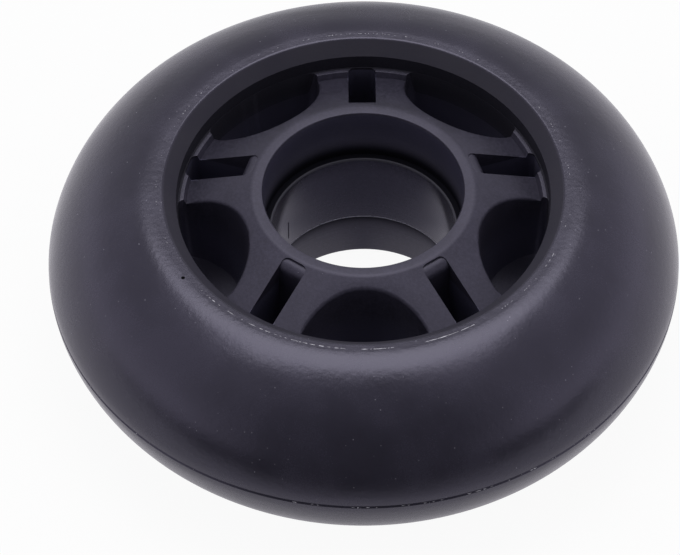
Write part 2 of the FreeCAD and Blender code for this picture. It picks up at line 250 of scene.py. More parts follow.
@dataclass(frozen=True)
class TyreFinish(Finish):
    """Satin black cast polyurethane with mould bloom, dust and a trimmed edge."""

    shade: Colour = (0.0165, 0.0152, 0.0235, 1.0)
    bloom: Colour = (0.024, 0.0222, 0.034, 1.0)
    dust: Colour = (0.3, 0.29, 0.33, 1.0)
    pit_shade: Colour = (0.002, 0.002, 0.002, 1.0)
    roughness: float = 0.26
    cloud_roughness: float = 0.06
    grain_roughness: float = 0.12
    gleam: Colour = (0.82, 0.78, 1.0, 1.0)
    reflection: float = 0.6
    sheen: float = 0.2
    sheen_roughness: float = 0.25
    cloud: Pattern = (0.16, 3.0, 0.5)
    cloud_span: Span = (0.3, 0.72)
    peel: float = 1.6
    grain: float = 6.0
    specks: Pattern = (1.3, 0.4, 0.1)
    dust_patches: float = 0.4
    dust_span: Span = (0.34, 0.6)
    dust_share: float = 0.7
    peel_height: float = 0.5
    grain_height: float = 0.12
    dust_height: float = 0.2
    relief: Span = (0.1, 0.35)
    pit_place: Point = (-19.66, -12.57)
    pit_span: Span = (0.156, 0.26)
    mouth: Colour = (0.029, 0.027, 0.038, 1.0)
    mouth_roughness: float = 0.7
    mouth_reflection: float = 0.25
    mouth_span: Span = (21.85, 22.15)

    def paint(self, graph: ShaderGraph) -> Value:
        """Returns the tyre's shader, with a matt mouth and the painted shade of a pinhole."""
        place, x, y, z = graph.coordinates()
        cloud = graph.noise(place, *self.cloud).rise(*self.cloud_span)
        peel = graph.noise(place, self.peel)
        grain = graph.noise(place, self.grain)
        patches = graph.noise(place, self.dust_patches).rise(*self.dust_span)
        dust = graph.specks(place, *self.specks) * patches
        # Painted shade: a near-black matt spot stands for the shade inside a pinhole, which is not modelled.
        pit_x, pit_y = self.pit_place
        pit_shade = (1.0 - graph.radius(x - pit_x, y - pit_y).rise(*self.pit_span)) * (z > 0.0)

        colour = graph.blend(cloud, self.shade, self.bloom)
        colour = graph.blend(dust * self.dust_share, colour, self.dust)
        rough = self.roughness + (cloud - NOISE_MEAN) * self.cloud_roughness
        rough = rough + (grain - NOISE_MEAN) * self.grain_roughness
        relief = peel * self.peel_height + grain * self.grain_height + dust * self.dust_height
        normal = graph.bump(relief, *self.relief)
        skin = graph.principled({
            "Base Color": colour, "Roughness": rough, "Specular IOR Level": self.reflection,
            "Specular Tint": self.gleam, "Sheen Weight": self.sheen,
            "Sheen Roughness": self.sheen_roughness, "Normal": normal})
        worn = graph.principled({
            "Base Color": graph.blend(cloud, self.bloom, self.mouth), "Roughness": self.mouth_roughness,
            "Specular IOR Level": self.mouth_reflection, "Normal": normal})
        skin = graph.mix(1.0 - graph.radius(x, y).rise(*self.mouth_span), skin, worn)
        return graph.mix(pit_shade, skin, graph.matt(self.pit_shade))


@dataclass(frozen=True)
class HubFinish(Finish):
    """Black moulded plastic: fine spark grain on the spokes, turned lines in the bore."""

    shade: Colour = (0.015, 0.014, 0.022, 1.0)
    rubbed: Colour = (0.036, 0.0335, 0.051, 1.0)
    dust: Colour = (0.30, 0.29, 0.32, 1.0)
    painted_fill: Colour = (0.05, 0.048, 0.078, 1.0)
    painted_shade: Colour = (0.006, 0.006, 0.009, 1.0)
    painted_edge_highlight: Colour = (0.65, 0.64, 0.74, 1.0)
    upper_highlight_share: float = 0.1
    roughness: float = 0.45
    grain_roughness: float = 0.3
    gleam: Colour = (0.82, 0.78, 1.0, 1.0)
    reflection: float = 0.55
    grain: Pattern = (3.0, 4.0, 0.65)
    grain_span: Span = (0.35, 0.75)
    grain_share: float = 0.7
    cloud: float = 0.3
    cloud_span: Span = (0.3, 0.7)
    cloud_share: float = 0.3
    specks: Pattern = (1.1, 0.12, 0.06)
    dust_patches: float = 0.6
    dust_span: Span = (0.4, 0.65)
    dust_share: float = 0.6
    dust_height: float = 0.5
    lines: Pattern = (1.6, 3.0, 0.7)
    line_stretch: float = 3.0
    line_height: float = 1.2
    relief: Span = (0.04, 0.4)
    seat_roughness: float = 0.3
    seat_radius: float = 11.05
    seat_painted_fill: float = 0.6
    seat_foot: Span = (5.0, 8.2)
    seat_foot_roughness: float = 0.75
    corner_shade_span: Span = (5.2, 6.8)
    corner_shade_share: float = 0.8
    land_roughness: float = 0.13
    land_radius: float = 10.4
    land_end: float = 4.75
    rim_start: float = 20.25
    rim_roughness: float = 0.3
    slot_start: float = 13.8
    slot_half: float = 1.6
    slot_top: float = 8.6
    spokes: int = SPOKES
    painted_fill_span: Span = (3.0, 8.0)
    mark_turn: float = 145.0
    mark_width: float = 0.22
    mark_foot: float = -3.4
    mark_top: float = -0.65
    mark_roughness: float = 0.5
    mark_depth: float = 2.0

    def paint(self, graph: ShaderGraph) -> Value:
        """Returns the hub's shader, with its seats, land, slots and rim told apart, and painted light, shade
        and highlights on them.
        """
        place, x, y, z = graph.coordinates()
        reach = graph.radius(x, y)
        bore = reach < self.seat_radius
        land_edge = (reach < self.land_radius) * (abs(z) > self.land_end)
        land = (reach < self.land_radius) - land_edge
        rim = reach > self.rim_start
        turn = graph.maths("ARCTAN2", y, x)
        off_spoke = graph.maths("SINE", (turn - math.pi / 2) * (self.spokes / 2))
        slot = (abs(off_spoke) * reach < self.slot_half * self.spokes / 2) * (reach > self.slot_start)
        slot = slot * (abs(z) < self.slot_top)
        turn = turn - math.radians(self.mark_turn)
        mark = (abs(turn) < self.mark_width / 2 / self.land_radius) * land
        mark = mark * (z > self.mark_foot) * (z < self.mark_top)
        grain = graph.noise(place, *self.grain)
        cloud = graph.noise(place, self.cloud).rise(*self.cloud_span)
        heights = graph.add("ShaderNodeCombineXYZ", {"Z": z * self.line_stretch})
        turned = graph.noise(heights, *self.lines)
        patches = graph.noise(place, self.dust_patches).rise(*self.dust_span)
        dust = graph.specks(place, *self.specks) * patches
        foot = 1.0 - abs(z).rise(*self.seat_foot)
        deep = 1.0 - abs(z).rise(*self.painted_fill_span)
        shut_in = graph.maths("MAXIMUM", deep, slot) * (1.0 - bore)
        upper_seat = (bore - land) * (1.0 - foot) * (z > 0.0)

        rubbed = grain.rise(*self.grain_span) * self.grain_share + cloud * self.cloud_share
        colour = graph.blend(rubbed, self.shade, self.rubbed)
        colour = graph.blend(dust * self.dust_share, colour, self.dust)
        # Painted light: the deep parts outside the bore, the slots and the upper seat wall are made paler to
        # stand for light that reaches into them.
        colour = graph.blend(shut_in + upper_seat * self.seat_painted_fill, colour, self.painted_fill)
        # Painted shade: the seat walls darken towards the seat floor, and the rim wall under the tyre's lip
        # is dark.
        colour = graph.blend((bore - land) * foot + rim * (1.0 - shut_in), colour, self.painted_shade)
        # Painted highlight: the land's edges are pale, fully at the lower edge, which faces the table, and
        # only faintly at the upper edge.
        highlight_share = (z < 0.0) * (1.0 - self.upper_highlight_share) + self.upper_highlight_share
        colour = graph.blend(land_edge * highlight_share, colour, self.painted_edge_highlight)
        seat = self.seat_roughness + (self.seat_foot_roughness - self.seat_roughness) * foot
        rough = self.roughness + (grain - NOISE_MEAN) * self.grain_roughness + rim * self.rim_roughness
        rough = rough * (1.0 - bore) + seat * (bore - land) + self.land_roughness * land
        rough = rough + mark * self.mark_roughness
        relief = grain * (1.0 - bore) + turned * bore * self.line_height
        relief = relief + dust * self.dust_height - mark * self.mark_depth
        skin = graph.principled({
            "Base Color": colour, "Roughness": rough, "Specular IOR Level": self.reflection,
            "Specular Tint": self.gleam, "Normal": graph.bump(relief, *self.relief)})
        # Painted shade: a near-black matt shader is mixed into the seats' lower corners, towards the seat
        # floor.
        corner = (bore - land - land_edge) * (1.0 - abs(z).rise(*self.corner_shade_span))
        return graph.mix(corner * self.corner_shade_share, skin, graph.matt(self.painted_shade))


@dataclass(frozen=True)
class FlashFinish(Finish):
    """Thin torn flash, painted pale for the light that comes through it."""

    shade: Colour = (0.2, 0.195, 0.22, 1.0)
    tip: Colour = (0.6, 0.59, 0.64, 1.0)
    streak: float = 2.2
    streak_span: Span = (0.3, 0.7)
    roughness: float = 0.35
    streak_roughness: float = 0.2

    def paint(self, graph: ShaderGraph) -> Value:
        """Returns the flash's shader."""
        streak = graph.noise(graph.coordinates()[0], self.streak)
        return graph.principled({
            "Base Color": graph.blend(streak.rise(*self.streak_span), self.shade, self.tip),
            "Roughness": self.roughness + streak * self.streak_roughness})


@dataclass(frozen=True)
class TableFinish(Finish):
    """White table that shows as the white ground and keeps a soft shadow."""

    paper: Colour = (0.86, 0.86, 0.87, 1.0)
    ground: Colour = (1.0, 1.0, 1.0, 1.0)
    painted_front_shade: Colour = (0.1, 0.1, 0.1, 1.0)
    painted_back_shade: Colour = (0.5, 0.5, 0.5, 1.0)
    painted_reflection: Colour = (0.97, 0.94, 1.0, 1.0)
    painted_reflected_shadow: Colour = (0.29, 0.28, 0.36, 1.0)
    ground_share: float = 0.94
    gleam_share: float = 0.75
    tooth: float = 0.8
    tooth_share: float = 0.1
    front_span: Span = (40.0, 95.0)
    back_span: Span = (60.0, 160.0)
    beside_across: Span = (14.0, 44.0)
    beside_along: Span = (-45.0, 0.0)
    before_span: Span = (17.0, 40.0)
    before_share: float = 0.3
    around_span: Span = (42.0, 75.0)
    under_span: Span = (20.0, 28.0)
    bore_along: Span = (3.0, 10.0)
    bore_reach: Span = (11.5, 13.5)
    bore_across: Span = (-2.0, 3.0)
    bore_share: float = 0.34

    def paint(self, graph: ShaderGraph) -> Value:
        """Returns the table's shader: lit paper, white where the camera meets it, and a painted reflection
        where a gleam meets it.
        """
        place, x, y, _ = graph.coordinates()
        paper = graph.blend(graph.noise(place, self.tooth) * self.tooth_share, self.paper, self.ground)
        # Painted shade: the paper darkens far in front of the wheel and behind it.
        paper = graph.blend((-y).rise(*self.front_span), paper, self.painted_front_shade)
        paper = graph.blend(y.rise(*self.back_span), paper, self.painted_back_shade)
        lit = graph.matt(paper, tooth=1.0)
        path = graph.add("ShaderNodeLightPath", output="Is Camera Ray")
        gleam = path["Is Glossy Ray"] + path["Is Transmission Ray"]
        # Painted reflection: a gleam sees the table glow beside, around and under the wheel, with a painted
        # shadow under the wheel and painted light through the bore.
        reach = graph.radius(x, y)
        beside = abs(x).rise(*self.beside_across) * y.rise(*self.beside_along)
        before = (-y).rise(*self.before_span)
        around = (1.0 - reach.rise(*self.around_span)) * (1.0 - before * self.before_share)
        under = 1.0 - reach.rise(*self.under_span)
        through_bore = y.rise(*self.bore_along) * (1.0 - reach.rise(*self.bore_reach))
        through_bore = through_bore * abs(x).rise(*self.bore_across) * self.bore_share
        open_share = 1.0 - (1.0 - beside * self.gleam_share) * (1.0 - around * self.gleam_share)
        share = path * self.ground_share + gleam * (under + (1.0 - under) * open_share)
        mirrored = graph.blend(under * (1.0 - through_bore), self.painted_reflection, self.painted_reflected_shadow)
        shown = graph.blend(gleam, self.ground, mirrored)
        white = graph.add("ShaderNodeEmission", {"Color": shown, "Strength": 1.0})
        return graph.mix(share, lit, white)


# Outlines and meshes
class Outline:
    """A closed section of a turned piece, drawn as straight runs, arcs and rounded corners."""

    def __init__(self) -> None:
        """Starts an empty outline."""
        self.points: List[Point] = []

    def to(self, *corners: Point) -> "Outline":
        """Runs straight to each corner in turn, unless the outline is there already."""
        for corner in corners:
            if not self.points or math.dist(self.points[-1], corner) > PLANE:
                self.points.append(corner)
        return self

    def arc(self, centre: Point, radius: float, first: float, last: float, step: float) -> "Outline":
        """Runs round an arc.

        Args:
            centre: the arc's centre.
            radius: its radius.
            first: the angle where it starts, in radians.
            last: the angle where it ends.
            step: the longest run between two points.
        """
        count = max(2, math.ceil(abs(last - first) * radius / step))
        return self.to(*arc_points(centre, radius, first, last, count))

    def round_to(self, corner: Point, following: Point, radius: float, count: int = 4) -> "Outline":
        """Runs to a corner and rounds it off.

        Args:
            corner: the sharp corner.
            following: the corner after it.
            radius: the radius of the round.
            count: how many runs the round has.
        """
        here = Vector(corner)
        back = (Vector(self.points[-1]) - here).normalized()
        ahead = (Vector(following) - here).normalized()
        half = back.angle(ahead) / 2
        centre = here + (back + ahead).normalized() * radius / math.sin(half)
        start = here + back * radius / math.tan(half) - centre
        end = here + ahead * radius / math.tan(half) - centre
        turn = start.angle_signed(end)
        for number in range(count + 1):
            self.to(tuple(centre + Matrix.Rotation(-turn * number / count, 2) @ start))
        return self

    def mirrored(self) -> List[Point]:
        """Returns the whole section, whose upper half runs from the mid-plane to the mid-plane."""
        return self.points + [(across, -up) for across, up in reversed(self.points) if abs(up) > PLANE]


def arc_points(centre: Point, radius: float, first: float, last: float, count: int) -> List[Point]:
    """Returns points along an arc, its two ends among them."""
    angles = [first + (last - first) * number / count for number in range(count + 1)]
    return [(centre[0] + radius * math.cos(angle), centre[1] + radius * math.sin(angle)) for angle in angles]


def link_object(name: str, data: bpy.types.ID) -> Item:
    """Puts a mesh, a lamp or a camera in the scene as an object at the origin."""
    item = bpy.data.objects.new(name, data)
    bpy.context.scene.collection.objects.link(item)
    return item


def loft(name: str, rings: Sequence[Sequence[Place]]) -> Item:
    """Makes a closed solid through like rings of points, from the lowest to the highest.

    Args:
        name: the object's name.
        rings: the rings, anticlockwise and with the same number of points, in millimetres.

    Returns:
        The new object.
    """
    count = len(rings[0])
    corners = [(x * MM, y * MM, z * MM) for ring in rings for x, y, z in ring]
    faces: List[Sequence[int]] = [list(reversed(range(count)))]
    for level in range(len(rings) - 1):
        for number in range(count):
            here, there = level * count + number, level * count + (number + 1) % count
            faces.append((here, there, there + count, here + count))
    faces.append(range(len(corners) - count, len(corners)))
    mesh = bpy.data.meshes.new(name)
    mesh.from_pydata(corners, [], [list(face) for face in faces])
    return link_object(name, mesh)


def join(items: Sequence[Item], gap: float = 0.0) -> Item:
    """Puts the meshes of all the objects into the first one, and removes the others.

    Args:
        items: the objects.
        gap: how close corners are that are merged, in millimetres. Faces without area then go too.

    Returns:
        The first object.
    """
    mesh = bmesh.new()
    for item in items:
        mesh.from_mesh(item.data)
    if gap:
        bmesh.ops.remove_doubles(mesh, verts=mesh.verts[:], dist=gap * MM)
        bmesh.ops.dissolve_degenerate(mesh, edges=mesh.edges[:], dist=gap * MM)
    mesh.to_mesh(items[0].data)
    mesh.free()
    for item in items[1:]:
        bpy.data.objects.remove(item)
    return items[0]


def shade_smooth(item: Item, crease: float) -> None:
    """Smooths a mesh, and keeps edges sharper than the crease angle, in degrees."""
    item.data.shade_smooth()
    item.data.set_sharp_from_angle(angle=math.radians(crease))


# Geometry Nodes
class PieceTree:
    """Geometry Nodes that make a piece from a first mesh and named inputs."""

    def __init__(self, name: str, start: str, inputs: Mapping[str, str]) -> None:
        """Opens the tree and notes its inputs' identifiers.

        Args:
            name: the tree's name.
            start: the name of the input that takes the first mesh.
            inputs: the kinds of the other inputs, by name. A finish is added to them.
        """
        self.tree = bpy.data.node_groups.new(name, "GeometryNodeTree")
        face = self.tree.interface
        face.new_socket(start, in_out="INPUT", socket_type="NodeSocketGeometry")
        self.identifiers = {
            label: face.new_socket(label, in_out="INPUT", socket_type=f"NodeSocket{kind}").identifier
            for label, kind in {**inputs, "Finish": "Material"}.items()}
        face.new_socket("Piece", in_out="OUTPUT", socket_type="NodeSocketGeometry")
        self.graph = Graph(self.tree)
        self.given = self.graph.add("NodeGroupInput")

    def close(self, shape: Value) -> None:
        """Ends the tree with a real mesh in the given finish."""
        real = self.graph.add("GeometryNodeRealizeInstances", {0: shape})
        dressed = self.graph.add("GeometryNodeSetMaterial", {0: real, "Material": self.given["Finish"]})
        self.graph.add("NodeGroupOutput", {0: dressed})

    def rotation(self, turn: Value) -> Value:
        """Returns a rotation about the wheel's axis."""
        angles = self.graph.add("ShaderNodeCombineXYZ", {"Z": turn})
        return self.graph.add("FunctionNodeEulerToRotation", {0: angles})

    def run(self, item: Item, settings: Mapping[str, Any]) -> Item:
        """Turns an object into the plain mesh that the tree makes of it.

        Args:
            item: the object that the tree starts from.
            settings: the tree's inputs, by name.

        Returns:
            The same object with its new mesh and no modifier.
        """
        modifier = item.modifiers.new(self.tree.name, "NODES")
        modifier.node_group = self.tree
        for label, setting in settings.items():
            modifier[self.identifiers[label]] = setting
        bpy.context.view_layer.update()
        made = bpy.data.meshes.new_from_object(item.evaluated_get(bpy.context.evaluated_depsgraph_get()))
        for number in reversed(range(len(made.materials))):
            if made.materials[number] is None:
                made.materials.pop(index=number)
        item.modifiers.clear()
        item.data = made
        made.name = item.name
        return item


class LatheTree(PieceTree):
    """Geometry Nodes that turn a section right round the wheel's axis."""

    def __init__(self) -> None:
        """Builds the tree."""
        super().__init__("turned_section", "Section", {"Radius": "Float", "Segments": "Int"})
        graph, given = self.graph, self.given
        section = graph.add("GeometryNodeMeshToCurve", {"Mesh": given})
        path = graph.add("GeometryNodeCurvePrimitiveCircle", {
            "Resolution": given["Segments"], "Radius": given["Radius"]}, {"mode": "RADIUS"})
        level = graph.add("GeometryNodeSetCurveNormal", {"Curve": path}, {"mode": "Z_UP"})
        self.close(graph.add("GeometryNodeCurveToMesh", {"Curve": level, "Profile Curve": section}))

    def turn(self, name: str, section: Sequence[Point], segments: int, finish: bpy.types.Material) -> Item:
        """Turns a section.

        Args:
            name: the new piece's name.
            section: corners, clockwise, as distances from the axis and heights in millimetres.
            segments: how many steps the turn has.
            finish: the piece's material.

        Returns:
            A plain mesh object.
        """
        reach = min(across for across, _ in section)
        corners = [((across - reach) * MM, -up * MM, 0.0) for across, up in section]
        count = len(corners)
        mesh = bpy.data.meshes.new(name)
        mesh.from_pydata(corners, [(number, (number + 1) % count) for number in range(count)], [])
        return self.run(link_object(name, mesh), {
            "Radius": reach * MM, "Segments": segments, "Finish": finish})


class MouldTree(PieceTree):
    """Geometry Nodes that cut the windows and slots all round a turned hub."""

    def __init__(self) -> None:
        """Builds the tree."""
        super().__init__("moulded_hub", "Blank", {
            "Spokes": "Int", "Window": "Object", "Slot": "Object", "Lead In": "Object"})
        opened = self.combine("DIFFERENCE", self.given, self.ring("Window"))
        slotted = self.combine("DIFFERENCE", opened, self.ring("Slot"))
        self.close(self.combine("UNION", slotted, self.ring("Lead In")))

    def ring(self, label: str) -> Value:
        """Repeats a given object about the axis, once for each spoke."""
        graph, count = self.graph, self.given["Spokes"]
        shape = graph.add("GeometryNodeObjectInfo", {0: self.given[label]},
                          {"transform_space": "ORIGINAL"}, output="Geometry")
        points = graph.add("GeometryNodePoints", {"Count": count})
        turn = graph.add("GeometryNodeInputIndex") * math.tau / count
        copies = graph.add("GeometryNodeInstanceOnPoints", {
            "Points": points, "Instance": shape, "Rotation": self.rotation(turn)})
        return graph.add("GeometryNodeRealizeInstances", {0: copies})

    def combine(self, operation: str, base: Value, tool: Value) -> Value:
        """Cuts a tool from the base, or joins it on."""
        first = "Mesh 1" if operation == "DIFFERENCE" else "Mesh 2"
        settings = {"operation": operation, "solver": "MANIFOLD"}
        whole = self.graph.add("GeometryNodeMeshBoolean", {first: base}, settings)
        self.tree.links.new(tool.socket, whole.socket.node.inputs["Mesh 2"])
        return whole


@dataclass(frozen=True)
class FlashLine:
    """One line of torn flash: where it runs, how large its flakes are and how many are left."""

    name: str
    radius: float
    level: float
    seed: int
    length: float = 1.4
    width: float = 0.14
    height: float = 0.06
    places: int = 320
    front_share: float = 1.0
    other_share: float = 0.42


@dataclass(frozen=True)
class FlashHabit:
    """How flash tears: in patches, with more and longer flakes at the front."""

    flake: Tuple[Point, ...] = ((1.0, -0.4), (0.7, 0.5), (0.0, 1.0), (-1.0, 0.3), (-0.6, -0.7), (0.0, -1.0))
    crest: Point = (0.6, 0.8)
    shift: Span = (-0.4, 0.4)
    patches_per_metre: float = 260.0
    patch_detail: float = 1.0
    patch_span: Span = (0.32, 0.58)
    front_span: Span = (0.45, 0.95)
    back_span: Span = (0.975, 0.993)
    lengths: Span = (0.35, 1.0)
    widths: Span = (0.4, 1.0)
    heights: Span = (0.5, 1.0)
    front_width: float = 0.4
    other_length: float = 0.28
    front_length: float = 0.72


class FlashTree(PieceTree):
    """Geometry Nodes that leave torn flakes of flash along a circle about the axis."""

    def __init__(self, habit: FlashHabit) -> None:
        """Builds the tree for one habit of tearing."""
        super().__init__("flash_line", "Flake", {
            "Radius": "Float", "Height": "Float", "Places": "Int", "Front Share": "Float",
            "Other Share": "Float", "Seed": "Int"})
        self.habit = habit
        graph, given = self.graph, self.given
        places, reach, rest = given["Places"], given["Radius"], given["Other Share"]
        points = graph.add("GeometryNodePoints", {"Count": places})
        turn = (graph.add("GeometryNodeInputIndex") + self.chance(0, habit.shift)) * math.tau / places
        along, aside = graph.maths("COSINE", turn), graph.maths("SINE", turn)
        place = graph.add("ShaderNodeCombineXYZ", {
            "X": reach * along, "Y": reach * aside, "Z": given["Height"]})
        placed = graph.add("GeometryNodeSetPosition", {"Geometry": points, "Position": place})
        patches = graph.add("ShaderNodeTexNoise", {
            "Vector": place, "Scale": habit.patches_per_metre, "Detail": habit.patch_detail})
        front = (-aside).rise(*habit.front_span)
        share = rest + (given["Front Share"] - rest) * (front + aside.rise(*habit.back_span))
        kept = self.chance(1, (0.0, 1.0)) < patches.rise(*habit.patch_span) * share
        length = self.chance(2, habit.lengths)
        stretch = graph.add("ShaderNodeCombineXYZ", {
            "X": self.chance(3, habit.widths) * (1.0 + front * habit.front_width),
            "Y": length * length * (habit.other_length + front * habit.front_length),
            "Z": self.chance(4, habit.heights)})
        self.close(graph.add("GeometryNodeInstanceOnPoints", {
            "Points": placed, "Selection": kept, "Instance": given, "Scale": stretch,
            "Rotation": self.rotation(turn)}))

    def chance(self, draw: int, span: Span) -> Value:
        """Returns a random number for each flake, from one numbered draw."""
        seed = self.given["Seed"] + draw
        return self.graph.add("FunctionNodeRandomValue", {2: span[0], 3: span[1], "Seed": seed},
                              {"data_type": "FLOAT"}, output=1)

    def leave(self, line: FlashLine, finish: bpy.types.Material) -> Item:
        """Makes one line of flakes as a plain mesh object."""
        half, width, height = line.length / 2, line.width / 2, line.height / 2
        narrower, shorter = self.habit.crest
        foot = [(width * across, half * along, -height) for across, along in self.habit.flake]
        crest = [(across * narrower, along * shorter, height) for across, along, _ in foot]
        return self.run(loft(line.name, [foot, crest]), {
            "Radius": line.radius * MM, "Height": line.level * MM, "Places": line.places,
            "Front Share": line.front_share, "Other Share": line.other_share, "Seed": line.seed,
            "Finish": finish})


# The wheel
@dataclass(frozen=True)
class Rim:
    """The faces where the hub's rim and its key meet the tyre that is cast round them."""

    mouth: float = 20.6
    end: float = 10.55
    radius: float = 22.6
    key_radius: float = 24.4
    key_end: float = 2.0

    def corners(self) -> List[Point]:
        """Returns the corners from the rim's mouth to the mid-plane."""
        return [(self.mouth, self.end), (self.radius, self.end), (self.radius, self.key_end),
                (self.key_radius, self.key_end), (self.key_radius, 0.0)]


@dataclass
class Tyre:
    """The cast tyre: round nose, flanks, trimmed sides, lip and the mould's seam."""

    radius: float
    width: float
    nose_radius: float = 6.0
    flank_radius: float = 14.4
    shoulder_radius: float = 7.2
    trim_outer: float = 23.2
    trim_inner: float = 22.7
    trim_step: float = 0.02
    trim_slope: float = 0.4
    lip: float = 22.05
    lip_radius: float = 0.5
    lip_runs: int = 8
    seam_half: float = 0.2
    seam_depth: float = 0.15
    trim_flash_inset: float = 0.05
    trim_flash_sink: float = 0.032
    trim_flash_seed: int = 4
    seam_flash_share: float = 0.6
    seam_flash_seed: int = 9
    run: float = 0.4
    segments: int = 360
    crease: float = 9.0
    rim: Rim = field(default_factory=Rim)
    finish: TyreFinish = field(default_factory=TyreFinish)
    flash: FlashFinish = field(default_factory=FlashFinish)

    def flash_lines(self) -> List[FlashLine]:
        """Returns the lines of flash that the mould left: at both trimmed edges and in the seam."""
        reach, level = self.trim_inner + self.trim_flash_inset, self.width / 2 - self.trim_flash_sink
        lines = [FlashLine(f"trim_flash_{side.name.lower()}", reach, side.value * level,
                           self.trim_flash_seed + side.value) for side in Side]
        reach = self.radius - self.seam_depth * self.seam_flash_share
        lines.append(FlashLine(
            "seam_flash", reach, -self.seam_half * self.seam_flash_share, self.seam_flash_seed, length=0.7,
            width=0.12, height=0.13, places=420, front_share=0.5, other_share=0.6))
        return lines

    def flank_centre(self, nose: Point, shoulder: Point) -> Point:
        """Returns the centre of the flank's arc, which touches the nose's and the shoulder's."""
        span = Vector(shoulder) - Vector(nose)
        near = self.flank_radius - self.nose_radius
        far = self.flank_radius - self.shoulder_radius
        along = (near ** 2 - far ** 2 + span.length ** 2) / (2 * span.length)
        unit = span.normalized()
        aside = Vector((-unit.y, unit.x)) * math.sqrt(near ** 2 - along ** 2)
        return tuple(Vector(nose) + unit * along + aside)

    def section(self) -> List[Point]:
        """Returns the tyre's section, clockwise, outside the rim and its key."""
        half = self.width / 2
        trimmed = half - self.trim_step
        nose = (self.radius - self.nose_radius, 0.0)
        shoulder = (self.trim_outer, half - self.shoulder_radius)
        flank = self.flank_centre(nose, shoulder)
        nose_start = math.asin(self.seam_half / self.nose_radius)
        nose_end = math.atan2(nose[1] - flank[1], nose[0] - flank[0])
        flank_end = math.atan2(shoulder[1] - flank[1], shoulder[0] - flank[0])
        inside = self.rim.corners()
        outline = Outline().to((self.radius - self.seam_depth, 0.0))
        outline.arc(nose, self.nose_radius, nose_start, nose_end, self.run)
        outline.arc(flank, self.flank_radius, nose_end, flank_end, self.run)
        outline.arc(shoulder, self.shoulder_radius, flank_end, math.pi / 2, self.run)
        outline.to((self.trim_inner + self.trim_slope, half), (self.trim_inner, trimmed))
        outline.round_to((self.lip, trimmed), inside[0], self.lip_radius, self.lip_runs)
        return list(reversed(outline.to(*inside).mirrored()))

    def build(self, lathe: LatheTree, torn: FlashTree) -> List[Item]:
        """Makes the tyre and its flash, dressed."""
        finish = self.finish.make("cast_polyurethane")
        tyre = lathe.turn("cast_tyre", self.section(), self.segments, finish)
        shade_smooth(tyre, self.crease)
        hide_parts(Piece.TYRE.value)
        pale = self.flash.make("torn_flash")
        return [tyre] + [torn.leave(line, pale) for line in self.flash_lines()]


